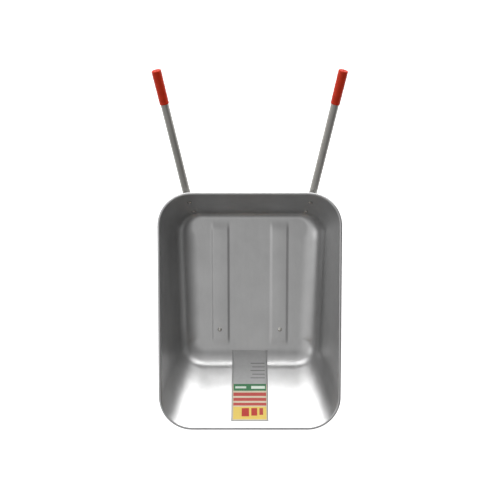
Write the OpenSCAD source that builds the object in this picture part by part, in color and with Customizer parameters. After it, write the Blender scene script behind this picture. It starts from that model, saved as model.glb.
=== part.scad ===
// Single-wheel garden wheelbarrow: a pressed steel tray on two bent tubes, with a pneumatic wheel.
// Millimetres. +Z is up, +Y points towards the hand grips, and the ground is z = 0.

/* [Tray] */
// Width over the rolled rim
tray_w = 600; // [580:5:620]
// Length over the rolled rim, measured along the rim
tray_l = 784; // [770:2:790]
// Plan radius of the rim's corners
rim_corner_r = 110; // [95:5:120]
// Diameter of the rolled rim
bead_d = 10; // [9:0.5:12]
// Thickness of the tray sheet
sheet_t = 1; // [0.8:0.1:1.2]
// Depth from the rear rim down to the floor
tray_depth = 164.5; // [160:0.5:170]
// Rise of the rim towards the front, in degrees
rim_tilt = 4.7; // [3:0.1:5]
// Height of the raised floor ribs
rib_h = 2.5; // [1.5:0.5:3]
// Width of a floor rib
rib_w = 56; // [50:1:60]

/* [Frame] */
// Height of the tray floor above the ground
floor_z = 345; // [340:1:350]
// Diameter of the main tubes
tube_d = 25; // [22:0.5:26]
// Wall thickness of the tubes
tube_t = 1.5; // [1.2:0.1:2]
// Splay of each main tube away from the middle, in degrees
splay = 11.5; // [10.5:0.1:12]
// Diameter of the leg tubes
leg_d = 22; // [20:1:24]
// Height of the hand grips' ends above the ground
grip_z = 609; // [600:1:615]

/* [Grips] */
// Length of a hand grip
grip_l = 108; // [100:1:130]
// Diameter of a hand grip
grip_d = 30; // [29:0.5:33]

/* [Wheel] */
// Outer diameter of the tyre
wheel_d = 360; // [350:2:370]
// Width of the tyre
tyre_w = 80; // [74:2:84]
// Diameter of the axle bolt
axle_d = 12; // [12:1:12]
// Number of balls in each bearing
ball_count = 7; // [6:1:7]

/* [Label] */
// Width of the film label
label_w = 124; // [100:1:130]
// Clear distance from the label's upper end to the rim
label_gap = 24; // [10:1:60]

/* [Hidden] */
$fn = 48;

gap = 0.3;              // clearance between neighbouring pieces
steel = "silver";

// Tray: rear edge of the rim, corners of the floor before rounding, and fillet radii
rim_rear_y = 263.3;
rim_rear_z = floor_z + tray_depth;
bead_r = bead_d / 2;
floor_rear_y = rim_rear_y - 92;
floor_front_y = rim_rear_y - 603;
floor_half_rear = 241;
floor_half_front = 227;
floor_corner_r = 75;
rear_fillet_r = 28;
side_fillet_r = 72;
front_fillet_r = 72;
corner_steps = 10;
fillet_steps = 6;
curl_steps = 10;
curl_end = 290;
rib_x = 102;
rib_rear_y = rim_rear_y - 114.8;
rib_front_y = rim_rear_y - 560.3;

// Main tubes: each lies in one upright plane, splayed outwards, and all its places are [y, z]
bolt_y = rim_rear_y - 500;
bolt_x = 105.5;
rail_z = floor_z - sheet_t - gap - tube_d / 2;
grip_end_y = rim_rear_y + 381.4;
wheel_y = rim_rear_y - 732.5;
wheel_r = wheel_d / 2;
handle_rise = 18.5;
toe = [rim_rear_y - 540, rail_z];
knee_r = 55;
heel_r = 48;
toe_r = 60;
tube_sides = 20;
bend_steps = 6;
tab_l = 26;
tab_t = 5;
axle_tab_w = 32;
axle_x = bolt_x + tan(splay) * (wheel_y - bolt_y);

// Legs: bolted to the outer side of each rail
leg_plane = tube_d / 2 + gap + tab_t / 2;
leg_rear_y = rim_rear_y - 132;
leg_front_y = rim_rear_y - 322;
foot_rear_y = rim_rear_y - 164;
foot_front_y = rim_rear_y - 254;
plate_t = 3;
foot_z = plate_t + gap + leg_d / 2;
leg_bend_r = 42;
leg_bolt_r = 4;
strap_w = 25;
strap_t = 3;
brace_z = 165;
brace_gap = 1.6;        // the strap stands upright beside a leaning tube

// Small bolts
m6_r = 3;
m6_hole_r = 3.3;
dome_r = 7.5;
dome_h = 3.6;

// Wheel
bearing_r = 16;
bearing_w = 10;
hub_r = 19;
hub_half = 35;
race_in_r = 8.8;
race_out_r = 13.2;
ball_r = 2.75;
pitch_r = 11;
rim_seat_r = 104;
tyre_centre_r = 139;
rim_pitch_r = 45;

function unit(v) = v / norm(v);
function lerp(a, b, s) = a + (b - a) * s;

// ---- Tray surface ----------------------------------------------------------------------------

// A direction given in the tilted plane of the rim
function rim_dir(x, y, z) =
    [x, y * cos(rim_tilt) + z * sin(rim_tilt), z * cos(rim_tilt) - y * sin(rim_tilt)];

// A rounded four-sided outline [rear y, front y, rear half width, front half width, corner radius]
rim_shape = [-bead_r, bead_r - tray_l, tray_w / 2 - bead_r, tray_w / 2 - bead_r,
             rim_corner_r - bead_r];
floor_shape = [floor_rear_y, floor_front_y, floor_half_rear, floor_half_front, floor_corner_r];

// Point of an outline as [x, y, angle of the outward normal]; corners run anticlockwise from the
// front right, and k goes from 0 to 1 round one corner
function outline_point(s, corner, k) =
    let (side = -atan2(s[2] - s[3], s[0] - s[1]),
         first = [-90, side, 90, 180 - side][corner],
         last = [side, 90, 180 - side, 270][corner],
         a = lerp(first, last, k),
         hand = corner < 2 ? 1 : -1,
         cy = corner == 0 || corner == 3 ? s[1] + s[4] : s[0] - s[4],
         reach = cos(side) * s[2] + sin(side) * s[0],
         cx = (reach - s[4] - sin(side) * cy) / cos(side))
    [hand * cx + s[4] * cos(a), cy + s[4] * sin(a), a];

function fillet_r(a) =
    let (end_r = sin(a) > 0 ? rear_fillet_r : front_fillet_r)
    lerp(side_fillet_r, end_r, pow(sin(a), 2));

function floor_corner(corner, k) =
    let (p = outline_point(floor_shape, corner, k)) [p[0], p[1], floor_z];
function bead_centre(corner, k) =
    let (p = outline_point(rim_shape, corner, k))
    [0, rim_rear_y, rim_rear_z] + rim_dir(p[0], p[1], 0);
function bead_out(corner, k) =
    let (p = outline_point(rim_shape, corner, k)) rim_dir(cos(p[2]), sin(p[2]), 0);
// A direction from the bead's centre, turned from inwards through upwards by an angle
function bead_dir(corner, k, angle) =
    sin(angle) * rim_dir(0, 0, 1) - cos(angle) * bead_out(corner, k);
// The wall's line runs from the floor's corner and just touches the bead's circle at this angle
function bead_start(corner, k) =
    let (line = bead_centre(corner, k) - floor_corner(corner, k),
         out = bead_out(corner, k),
         chord = unit(line),
         lean = asin(bead_r / norm(line)),
         facing = cos(lean) * unit((out * chord) * chord - out) - sin(lean) * chord)
    atan2(facing * rim_dir(0, 0, 1), -(facing * out));
function wall_top(corner, k) =
    bead_centre(corner, k) + bead_r * bead_dir(corner, k, bead_start(corner, k));
function wall_point(corner, k, s) = lerp(floor_corner(corner, k), wall_top(corner, k), s);

// Cross-section of the tray at one place on its edge: fillet, wall, curl, and back underneath
function tray_section(corner, k) =
    let (c = floor_corner(corner, k),
         up = unit(wall_top(corner, k) - c),
         a = outline_point(floor_shape, corner, k)[2],
         inward = -[cos(a), sin(a), 0],
         bend = acos(up * inward),
         r = fillet_r(a),
         centre = c + unit(up + inward) * r / sin(bend / 2),
         leg = r / tan(bend / 2),
         from = unit(c + inward * leg - centre),
         to = unit(c + up * leg - centre),
         turn = 180 - bend,
         fan = [for (j = [0:fillet_steps]) let (s = j / fillet_steps)
                (sin((1 - s) * turn) * from + sin(s * turn) * to) / sin(turn)],
         q = bead_centre(corner, k),
         first = bead_start(corner, k),
         curl = [for (j = [0:curl_steps])
                 bead_dir(corner, k, lerp(first, curl_end, j / curl_steps))])
    concat([for (v = fan) centre + r * v],
           [for (v = curl) q + bead_r * v],
           [for (j = [curl_steps:-1:0]) q + (bead_r - sheet_t) * curl[j]],
           [for (j = [fillet_steps:-1:1]) centre + (r + sheet_t) * fan[j]],
           [c + inward * leg - [0, 0, sheet_t]]);

module tray_sheet() {
    sections = [for (corner = [0:3]) for (j = [0:corner_steps])
                tray_section(corner, j / corner_steps)];
    n = len(sections);
    m = len(sections[0]);
    skin = [for (i = [0:n - 1]) for (j = [0:m - 2]) let (h = (i + 1) % n)
            each [[i * m + j, h * m + j + 1, i * m + j + 1],
                  [i * m + j, h * m + j, h * m + j + 1]]];
    // The flat floor in strips from side to side: section i is the mirror image of n - 1 - i
    strips = [for (i = [0:n / 2 - 2]) [i, n - 1 - i, n - 2 - i, i + 1]];
    floor_top = [for (s = strips) m * s];
    floor_under = [for (s = strips) [for (j = [3:-1:0]) m * s[j] + m - 1]];
    polyhedron(points = [for (s = sections) each s],
               faces = concat(skin, floor_top, floor_under));
}

// A block over each pressed rib, between two heights above the floor
module rib_blocks(inset, low, high) {
    for (side = [-1, 1])
        translate([side * rib_x - rib_w / 2 + inset, rib_front_y + inset, floor_z + low])
            cube([rib_w - 2 * inset, rib_rear_y - rib_front_y - 2 * inset, high - low]);
}

// ---- Places ----------------------------------------------------------------------------------

module both_sides() {
    children();
    mirror([1, 0, 0]) children();
}

// The upright plane of the right-hand rail: local Y runs along it, and local X points outwards
module in_rail_plane() {
    translate([bolt_x, bolt_y, 0]) rotate([0, 0, -splay]) children();
}
function along(y) = (y - bolt_y) / cos(splay);
function on_rail(p) = [along(p[0]), p[1]];

// The places of the floor bolts, with z up and zero on top of the rib
module at_floor_bolts() {
    both_sides() translate([bolt_x, bolt_y, floor_z + rib_h]) children();
}

// The places of the wall bolts: round the rear corner, and up the wall
wall_places = [[0.87, 0.655], [0.83, 0.208]];
function wall_normal(k, s) =
    unit(cross(wall_point(1, k + 0.01, s) - wall_point(1, k - 0.01, s),
               wall_point(1, k, s + 0.01) - wall_point(1, k, s - 0.01)));
module at_wall_bolts() {
    both_sides() for (p = wall_places) {
        n = -wall_normal(p[0], p[1]);
        translate(wall_point(1, p[0], p[1]))
            rotate([0, acos(n[2]), atan2(n[1], n[0])]) children();
    }
}

// The wheel's axis, with local Z along world X
module on_axle() {
    translate([0, wheel_y, wheel_r]) rotate([0, 90, 0]) children();
}

module at_leg_bolts() {
    for (y = [leg_rear_y, leg_front_y])
        translate([0, along(y), rail_z]) rotate([0, 90, 0]) children();
}

// ---- Bent tubes ------------------------------------------------------------------------------

function heading(a, b) = atan2(b[1] - a[1], b[0] - a[0]);
function turn_at(path, i) =
    let (t = heading(path[i], path[i + 1]) - heading(path[i - 1], path[i]))
    t > 180 ? t - 360 : t < -180 ? t + 360 : t;
function cut_at(path, radii, i) =
    i == 0 || i == len(path) - 1 ? 0 : radii[i] * tan(abs(turn_at(path, i)) / 2);

// Stations along a bent tube, each [y, z, heading]
function bend_stations(path, radii, i) =
    let (a = heading(path[i - 1], path[i]),
         turn = turn_at(path, i),
         r = radii[i] * sign(turn),
         start = path[i] - [cos(a), sin(a)] * cut_at(path, radii, i),
         centre = start + r * [-sin(a), cos(a)])
    [for (j = [0:bend_steps]) let (h = a + turn * j / bend_steps, p = centre + r * [sin(h), -cos(h)])
     [p[0], p[1], h]];
function stations(path, radii) =
    let (end = len(path) - 1)
    concat([[each path[0], heading(path[0], path[1])]],
           [for (i = [1:end - 1]) each bend_stations(path, radii, i)],
           [[each path[end], heading(path[end - 1], path[end])]]);
function ring(station, r) =
    [for (j = [0:tube_sides - 1]) let (t = 360 * j / tube_sides)
     [r * cos(t), station[0] - r * sin(t) * sin(station[2]), station[1] + r * sin(t) * cos(station[2])]];

// A hollow tube along a path of [y, z] points, with a bend radius at each inner point
module bent_tube(path, radii, d) {
    rows = stations(path, radii);
    n = len(rows) * tube_sides;
    corners = concat([for (s = rows) each ring(s, d / 2)],
                     [for (s = rows) each ring(s, d / 2 - tube_t)]);
    skin = [for (i = [0:len(rows) - 2]) for (j = [0:tube_sides - 1])
            let (a = i * tube_sides + j,
                 b = i * tube_sides + (j + 1) % tube_sides,
                 c = b + tube_sides,
                 e = a + tube_sides)
            each [[a, b, c], [a, c, e], [n + a, n + c, n + b], [n + a, n + e, n + c]]];
    mouths = [for (j = [0:tube_sides - 1])
              let (k = (j + 1) % tube_sides, last = n - tube_sides)
              each [[k, j, n + j, n + k],
                    [last + j, last + k, last + n + k, last + n + j]]];
    polyhedron(points = corners, faces = concat(skin, mouths));
}

// The flattened end of a tube: from the tube's end face to a drilled tab
module flat_end(end, hole, d, width, hole_r, swing = 0) {
    a = heading(end, hole);
    difference() {
        union() {
            hull() {
                translate([0, end[0], end[1]]) rotate([a - 90, 0, 0]) translate([0, 0, -4])
                    cylinder(h = 4.5, d = d - 0.8, $fn = 32);
                translate([0, hole[0], hole[1]]) rotate([0, 0, swing]) rotate([a - 90, 0, 0])
                    translate([-tab_t / 2 + 0.1, -width / 2 + 0.2, -tab_l])
                        cube([tab_t - 0.2, width - 0.4, 1.5]);
            }
            translate([0, hole[0], hole[1]]) rotate([0, 0, swing]) rotate([a - 90, 0, 0]) {
                translate([-tab_t / 2, -width / 2, -tab_l + 0.5]) cube([tab_t, width, tab_l - 0.5]);
                rotate([0, 90, 0]) cylinder(h = tab_t, d = width, center = true);
            }
        }
        translate([0, hole[0], hole[1]]) rotate([0, 0, swing]) rotate([0, 90, 0])
            cylinder(h = 4 * tab_t, r = hole_r, center = true);
    }
}

// ---- Tray group ------------------------------------------------------------------------------

module tray() {
    color("darkgray") difference() {
        union() {
            tray_sheet();
            rib_blocks(0, -sheet_t / 2, rib_h);
        }
        rib_blocks(sheet_t, -2 * sheet_t, rib_h - sheet_t);
        at_floor_bolts() cylinder(h = 20, r = m6_hole_r, center = true);
        at_wall_bolts() cylinder(h = 20, r = m6_hole_r, center = true);
    }
}

module rim_wire() {
    r = bead_r - sheet_t - 2 * gap;
    half = tray_w / 2 - rim_corner_r;
    mid = tray_l / 2 - rim_corner_r;
    bend = rim_corner_r - bead_r;
    color(steel) translate([0, rim_rear_y, rim_rear_z]) rotate([-rim_tilt, 0, 0])
        translate([0, -tray_l / 2, 0]) {
            for (q = [[half, mid, 0], [-half, mid, 90], [-half, -mid, 180], [half, -mid, 270]])
                translate([q[0], q[1], 0]) rotate([0, 0, q[2]])
                    rotate_extrude(angle = 90) translate([bend, 0]) circle(r = r);
            for (side = [-1, 1]) {
                translate([side * (half + bend), 0, 0]) rotate([90, 0, 0])
                    cylinder(h = 2 * mid, r = r, center = true);
                translate([0, side * (mid + bend), 0]) rotate([0, 90, 0])
                    cylinder(h = 2 * half, r = r, center = true);
            }
        }
}

// The film follows the front fillet and the front wall
module label() {
    section = tray_section(0, 0);
    top = section[fillet_steps + 1];
    foot = section[fillet_steps];
    end = top + unit(foot - top) * label_gap;
    line = concat([for (j = [1:fillet_steps]) section[j]], [end]);
    dirs = [for (j = [0:len(line) - 2]) unit(line[j + 1] - line[j])];
    lift = [for (j = [0:len(line) - 1])
            let (d = unit(dirs[min(j, len(dirs) - 1)] + dirs[max(j - 1, 0)])) [0, d[2], -d[1]]];
    low = [for (j = [0:len(line) - 1]) line[j] + 0.15 * lift[j]];
    high = [for (j = [0:len(line) - 1]) line[j] + 0.4 * lift[j]];
    profile = concat([for (p = low) [p[1], p[2]]],
                     [for (j = [len(high) - 1:-1:0]) [high[j][1], high[j][2]]]);
    color("khaki") translate([-label_w / 2, 0, 0]) rotate([90, 0, 90])
        linear_extrude(height = label_w) polygon(profile);
}

module domed_bolt(length) {
    translate([0, 0, gap]) intersection() {
        cylinder(h = dome_h, r = dome_r);
        translate([0, 0, dome_h - 11]) sphere(r = 11);
    }
    translate([0, 0, -length]) cylinder(h = length + gap, r = m6_r);
}

module nut(size, height, bore_r) {
    difference() {
        cylinder(h = height, d = size / cos(30), $fn = 6);
        translate([0, 0, -1]) cylinder(h = height + 2, r = bore_r);
    }
}

module washer(r, bore_r, thick) {
    difference() {
        cylinder(h = thick, r = r);
        translate([0, 0, -1]) cylinder(h = thick + 2, r = bore_r);
    }
}

// Depths below the top of the rib
bar_top = rib_h + sheet_t + gap + tube_d + gap;
floor_washer_top = bar_top + strap_t + 0.1;
floor_nut_top = floor_washer_top + 1.6;

module floor_bolts() {
    color(steel) at_floor_bolts() domed_bolt(floor_nut_top + 9);
}
module floor_washers() {
    color(steel) at_floor_bolts() translate([0, 0, -floor_washer_top - 1.5])
        washer(6, m6_hole_r, 1.5);
}
module floor_nuts() {
    color(steel) at_floor_bolts() translate([0, 0, -floor_nut_top - 5.1]) nut(10, 5, m6_r + 0.1);
}
module floor_spacers() {
    color("dimgray") at_floor_bolts() translate([0, 0, -rib_h - sheet_t])
        washer(11, m6_hole_r, rib_h);
}

// Depths below the inner surface of the back wall
wall_nut_top = 33;

module wall_bolts() {
    color(steel) at_wall_bolts() translate([0, 0, 0.4]) domed_bolt(wall_nut_top + 9);
}
module wall_nuts() {
    color(steel) at_wall_bolts() translate([0, 0, -wall_nut_top - 5]) nut(10, 5, m6_r + 0.1);
}
module wall_spacers() {
    color("dimgray") difference() {
        at_wall_bolts() translate([0, 0, -9]) washer(9, m6_hole_r, 9 - sheet_t - 0.5);
        both_sides() in_rail_plane() translate([0, on_rail(heel)[0], heel[1]])
            rotate([heading(on_rail(heel), on_rail(knee)) - 90, 0, 0])
                cylinder(h = norm(knee - heel), r = tube_d / 2 + 0.2);
    }
}

// ---- Rails -----------------------------------------------------------------------------------

// Where the line through p along d meets the line through q along e
function meet(p, d, q, e) = p + d * ((q - p)[0] * e[1] - (q - p)[1] * e[0]) / (d[0] * e[1] - d[1] * e[0]);

// The tube climbs parallel to the back wall of the tray, then leaves it at the handle's angle
back_foot = floor_corner(1, 1);
back_top = wall_top(1, 1);
back_dir = unit([back_top[1] - back_foot[1], back_top[2] - back_foot[2]]);
post = [back_foot[1], back_foot[2]]
       + [back_dir[1], -back_dir[0]] * (sheet_t + gap + tube_d / 2);
heel = meet(post, back_dir, [0, rail_z], [1, 0]);
knee = meet(post, back_dir, [grip_end_y, grip_z], [cos(handle_rise), sin(handle_rise)]);

axle_place = on_rail([wheel_y, wheel_r]);
grip_end = on_rail([grip_end_y, grip_z]);
rail_front = let (t = on_rail(toe)) axle_place + unit(t - axle_place) * 58;
rail_radii = [0, knee_r, heel_r, toe_r, 0];
rail_rear = grip_end - unit(grip_end - on_rail(knee)) * 6;
rail_path = [rail_rear, on_rail(knee), on_rail(heel), on_rail(toe), rail_front];

module rail_right() {
    color("gray") difference() {
        in_rail_plane() {
            bent_tube(rail_path, rail_radii, tube_d);
            flat_end(rail_front, axle_place, tube_d, axle_tab_w, axle_d / 2 + 0.2, splay);
        }
        in_rail_plane() at_leg_bolts() cylinder(h = 60, r = leg_bolt_r + 0.3, center = true);
        at_floor_bolts() cylinder(h = 90, r = m6_hole_r, center = true);
        at_wall_bolts() cylinder(h = 60, r = m6_hole_r, center = true);
    }
}
module rail_left() {
    mirror([1, 0, 0]) rail_right();
}

// A moulded sleeve with a closed end and a collar at its mouth
module grip_right() {
    dir = unit(grip_end - on_rail(knee));
    a = atan2(dir[1], dir[0]);
    mouth = grip_end - dir * grip_l;
    bore_r = tube_d / 2 + 0.2;
    color("orangered") in_rail_plane() translate([0, mouth[0], mouth[1]]) rotate([a - 90, 0, 0])
        difference() {
            rotate_extrude()
                polygon([[0, 0], [grip_d / 2 + 0.8, 0], [grip_d / 2 + 1, 2], [grip_d / 2 + 1, 5],
                         [grip_d / 2, 8], [grip_d / 2 - 0.5, grip_l / 2],
                         [grip_d / 2, grip_l - 3], [grip_d / 2 - 0.8, grip_l - 0.8],
                         [grip_d / 2 - 2.5, grip_l], [0, grip_l]]);
            translate([0, 0, -1]) cylinder(h = grip_l - 4, r = bore_r);
            cylinder(h = grip_l + 1, r = 2);
        }
}
module grip_left() {
    mirror([1, 0, 0]) grip_right();
}

// ---- Legs and cross members ------------------------------------------------------------------

leg_top_rear = on_rail([leg_rear_y, rail_z]);
leg_top_front = on_rail([leg_front_y, rail_z]);
leg_foot_rear = on_rail([foot_rear_y, foot_z]);
leg_foot_front = on_rail([foot_front_y, foot_z]);
leg_ends = [leg_top_rear + unit(leg_foot_rear - leg_top_rear) * 50,
            leg_top_front + unit(leg_foot_front - leg_top_front) * 50];
leg_path = [leg_ends[0], leg_foot_rear, leg_foot_front, leg_ends[1]];
leg_radii = [0, leg_bend_r, leg_bend_r, 0];

// Where the brace crosses the rear part of the leg, in the rail plane
brace_u = lerp(leg_top_rear[0], leg_foot_rear[0],
               (leg_top_rear[1] - brace_z) / (leg_top_rear[1] - foot_z));
brace_x = bolt_x + sin(splay) * brace_u + cos(splay) * leg_plane;
brace_y = bolt_y + cos(splay) * brace_u - sin(splay) * leg_plane;
module at_brace_bolts() {
    both_sides() translate([brace_x, brace_y, brace_z]) rotate([90, 0, 0]) children();
}

module leg_right() {
    color("gray") {
        difference() {
            in_rail_plane() translate([leg_plane, 0, 0]) bent_tube(leg_path, leg_radii, leg_d);
            at_brace_bolts() cylinder(h = 60, r = m6_hole_r, center = true);
        }
        in_rail_plane() translate([leg_plane, 0, 0]) {
            flat_end(leg_ends[0], leg_top_rear, leg_d, 24, leg_bolt_r + 0.3);
            flat_end(leg_ends[1], leg_top_front, leg_d, 24, leg_bolt_r + 0.3);
        }
    }
}
module leg_left() {
    mirror([1, 0, 0]) leg_right();
}

module foot_plate_right() {
    mid = (leg_foot_rear[0] + leg_foot_front[0]) / 2;
    color("gray") in_rail_plane() translate([leg_plane, mid, 0]) {
        translate([-17, -36, 0]) cube([34, 72, plate_t]);
        for (end = [-1, 1]) translate([0, end * 36, 0]) cylinder(h = plate_t, r = 17);
    }
}
module foot_plate_left() {
    mirror([1, 0, 0]) foot_plate_right();
}

ear_plane = -(tube_d / 2 + gap + strap_t);
module leg_bolts() {
    head = tube_d / 2 + gap + tab_t + gap;
    color(steel) both_sides() in_rail_plane() at_leg_bolts() {
        translate([0, 0, head]) cylinder(h = 5.3, d = 13 / cos(30), $fn = 6);
        translate([0, 0, -30]) cylinder(h = 30 + head, r = leg_bolt_r);
    }
}
module leg_nuts() {
    color(steel) both_sides() in_rail_plane() at_leg_bolts()
        translate([0, 0, ear_plane - gap - 6.5]) nut(13, 6.5, leg_bolt_r + 0.1);
}

module front_crossbar() {
    half = bolt_x + 16;
    color("gray") difference() {
        translate([-half, bolt_y - strap_w / 2, floor_z + rib_h - bar_top - strap_t])
            cube([2 * half, strap_w, strap_t]);
        at_floor_bolts() cylinder(h = 90, r = m6_hole_r, center = true);
    }
}

// A flat strap whose ends turn up against the inner sides of the rails
module rear_crossbar() {
    ear_x = bolt_x + sin(splay) * leg_top_rear[0] + cos(splay) * (ear_plane + strap_t / 2);
    base_z = rail_z - tube_d / 2 - 8;
    color("gray") difference() {
        union() {
            translate([-ear_x, leg_rear_y - strap_w / 2, base_z]) cube([2 * ear_x, strap_w, strap_t]);
            both_sides() in_rail_plane()
                translate([ear_plane, leg_top_rear[0] - strap_w / 2 + 2, base_z])
                    cube([strap_t, strap_w, rail_z + 11 - base_z]);
        }
        both_sides() in_rail_plane() at_leg_bolts() cylinder(h = 60, r = leg_bolt_r + 0.3, center = true);
        both_sides() in_rail_plane() translate([ear_plane + strap_t, 0, 0]) cube([20, 600, floor_z]);
    }
}

module leg_brace() {
    half = brace_x + 14;
    color("gray") difference() {
        translate([-half, brace_y - leg_d / 2 - brace_gap - strap_t, brace_z - strap_w / 2])
            cube([2 * half, strap_t, strap_w]);
        at_brace_bolts() cylinder(h = 60, r = m6_hole_r, center = true);
    }
}
module brace_bolts() {
    reach = leg_d / 2 + brace_gap + strap_t + gap;
    color(steel) at_brace_bolts() {
        translate([0, 0, reach]) cylinder(h = 4, d = 10 / cos(30), $fn = 6);
        translate([0, 0, -reach - 6]) cylinder(h = 2 * reach + 6, r = m6_r);
    }
}
module brace_nuts() {
    color(steel) at_brace_bolts() translate([0, 0, -leg_d / 2 - 2 - 5]) nut(10, 5, m6_r + 0.1);
}

// ---- Wheel -----------------------------------------------------------------------------------

// Points of an oval tyre section, open at the bottom, from one bead to the other
function oval(half_w, half_h, first, last, steps) =
    [for (j = [0:steps]) let (t = lerp(first, last, j / steps))
     [tyre_centre_r + half_h * sin(t), half_w * cos(t)]];

module tyre() {
    wall = 7;
    color("#202020") on_axle() rotate_extrude($fn = 96)
        polygon(concat(oval(tyre_w / 2, wheel_r - tyre_centre_r, -55, 235, 36),
                       oval(tyre_w / 2 - wall, wheel_r - tyre_centre_r - wall - 1, 235, -55, 30)));
}

tube_ring_r = 31;
valve_x = 8;
module at_valve() {
    on_axle() translate([-tyre_centre_r + 29.5, 0, valve_x]) rotate([0, 90, 0]) children();
}
module inner_tube() {
    color("#303030") difference() {
        on_axle() rotate_extrude($fn = 96) translate([tyre_centre_r, 0]) difference() {
            circle(r = tube_ring_r);
            circle(r = tube_ring_r - 2);
        }
        at_valve() cylinder(h = 16, r = 4.2, center = true);
    }
}
module valve_stem() {
    color("#202020") at_valve() difference() {
        union() {
            translate([0, 0, -1]) cylinder(h = 27, r = 4);
            translate([0, 0, 26]) cylinder(h = 12, r = 2.6);
        }
        translate([0, 0, -2]) cylinder(h = 60, r = 1);
    }
}
module valve_cap() {
    color("#101010") at_valve() translate([0, 0, 29]) difference() {
        cylinder(h = 12, r = 4.2);
        translate([0, 0, -1]) cylinder(h = 10.5, r = 2.8);
    }
}

// A closed strip of thickness t about a line of points
function strip(line, t) =
    let (n = len(line),
         dirs = [for (j = [0:n - 2]) unit(line[j + 1] - line[j])],
         sides = [for (j = [0:n - 1])
                  let (a = dirs[max(j - 1, 0)], b = dirs[min(j, n - 2)], m = unit(a + b))
                  [-m[1], m[0]] * t / 2 / (m * a)])
    concat([for (j = [0:n - 1]) line[j] + sides[j]], [for (j = [n - 1:-1:0]) line[j] - sides[j]]);

// A pressed half rim: a flat disc, a cone, the seat of the tyre's bead and a rolled lip
module rim_half() {
    t = 1.6;
    difference() {
        rotate_extrude($fn = 96)
            polygon(strip([[hub_r + 0.15, 0.9], [72, 0.9], [96, 14], [rim_seat_r, 17],
                           [rim_seat_r, 28], [rim_seat_r + 4, 31.5], [rim_seat_r + 9, 33.5]], t));
        for (j = [0:3]) rotate([0, 0, 45 + 90 * j]) translate([rim_pitch_r, 0, -5])
            cylinder(h = 20, r = m6_hole_r);
    }
}
module rim_half_right() {
    color("firebrick") difference() {
        on_axle() rim_half();
        at_valve() cylinder(h = 60, r = 4.4);
    }
}
module rim_half_left() {
    color("firebrick") on_axle() mirror([0, 0, 1]) rim_half();
}

module at_rim_bolts() {
    on_axle() for (j = [0:3]) rotate([0, 0, 45 + 90 * j]) translate([rim_pitch_r, 0, 0]) children();
}
rim_disc = 1.7 + 0.2;
module rim_bolts() {
    color(steel) at_rim_bolts() {
        translate([0, 0, rim_disc]) cylinder(h = 4, d = 10 / cos(30), $fn = 6);
        translate([0, 0, -12]) cylinder(h = 12 + rim_disc, r = m6_r);
    }
}
module rim_nuts() {
    color(steel) at_rim_bolts() translate([0, 0, -rim_disc - 5]) nut(10, 5, m6_r + 0.1);
}

module hub_tube() {
    color(steel) on_axle() difference() {
        cylinder(h = 2 * hub_half, r = hub_r, center = true);
        cylinder(h = 4 * hub_half, r = bearing_r - 2, center = true);
        for (end = [-1, 1]) translate([0, 0, end * (hub_half - bearing_w / 2 + 5)])
            cylinder(h = bearing_w + 10, r = bearing_r + 0.05, center = true);
    }
}

// The two bearings, each centred on its own origin
module at_bearings() {
    on_axle() for (end = [-1, 1]) translate([0, 0, end * (hub_half - bearing_w / 2)]) children();
}
module race_groove() {
    rotate_extrude() translate([pitch_r, 0]) circle(r = ball_r + 0.15);
}
module bearing_outer_rings() {
    color(steel) at_bearings() difference() {
        cylinder(h = bearing_w - 0.1, r = bearing_r, center = true);
        cylinder(h = bearing_w + 1, r = race_out_r, center = true);
        race_groove();
    }
}
module bearing_inner_rings() {
    color(steel) at_bearings() difference() {
        cylinder(h = bearing_w - 0.1, r = race_in_r, center = true);
        cylinder(h = bearing_w + 1, r = axle_d / 2 + 0.05, center = true);
        race_groove();
    }
}
module at_balls() {
    at_bearings() for (j = [0:ball_count - 1]) rotate([0, 0, 360 * j / ball_count])
        translate([pitch_r, 0, 0]) children();
}
module bearing_balls() {
    color("white") at_balls() sphere(r = ball_r);
}
module bearing_cages() {
    color("goldenrod") difference() {
        at_bearings() translate([0, 0, -1.2]) difference() {
            cylinder(h = 4.9, r = pitch_r + 1.1);
            translate([0, 0, -1]) cylinder(h = 7, r = pitch_r - 1.1);
        }
        at_balls() sphere(r = ball_r + 0.15);
    }
}
module bearing_shields() {
    color("#303030") at_bearings() for (face = [-1, 1]) translate([0, 0, face * 4.2]) difference() {
        cylinder(h = 0.6, r = race_out_r - 0.1, center = true);
        cylinder(h = 1, r = race_in_r + 0.4, center = true);
    }
}
module bearing_spacer() {
    length = 2 * (hub_half - bearing_w) - 0.2;
    color(steel) on_axle() translate([0, 0, -length / 2]) washer(8.4, axle_d / 2 + 0.1, length);
}

// Along the axle, outwards from the middle
tab_in = axle_x - tab_t / 2;
tab_out = axle_x + tab_t / 2;
module axle_spacers() {
    length = tab_in - hub_half - 0.4;
    color(steel) on_axle() for (end = [0, 1]) mirror([0, 0, end])
        translate([0, 0, hub_half + 0.2]) washer(8.4, axle_d / 2 + 0.1, length);
}
module axle_washers() {
    color(steel) on_axle() for (end = [0, 1]) mirror([0, 0, end])
        translate([0, 0, tab_out + 0.2]) washer(12, axle_d / 2 + 0.2, 2.5);
}
module axle_bolt() {
    head = tab_out + 0.2 + 2.5 + 0.2;
    color(steel) on_axle() {
        translate([0, 0, head]) cylinder(h = 7.5, d = 19 / cos(30), $fn = 6);
        translate([0, 0, -head - 15]) cylinder(h = 2 * head + 15, r = axle_d / 2);
    }
}
module axle_nut() {
    color(steel) on_axle() translate([0, 0, -tab_out - 2.9 - 12]) nut(19, 12, axle_d / 2 + 0.1);
}

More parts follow.
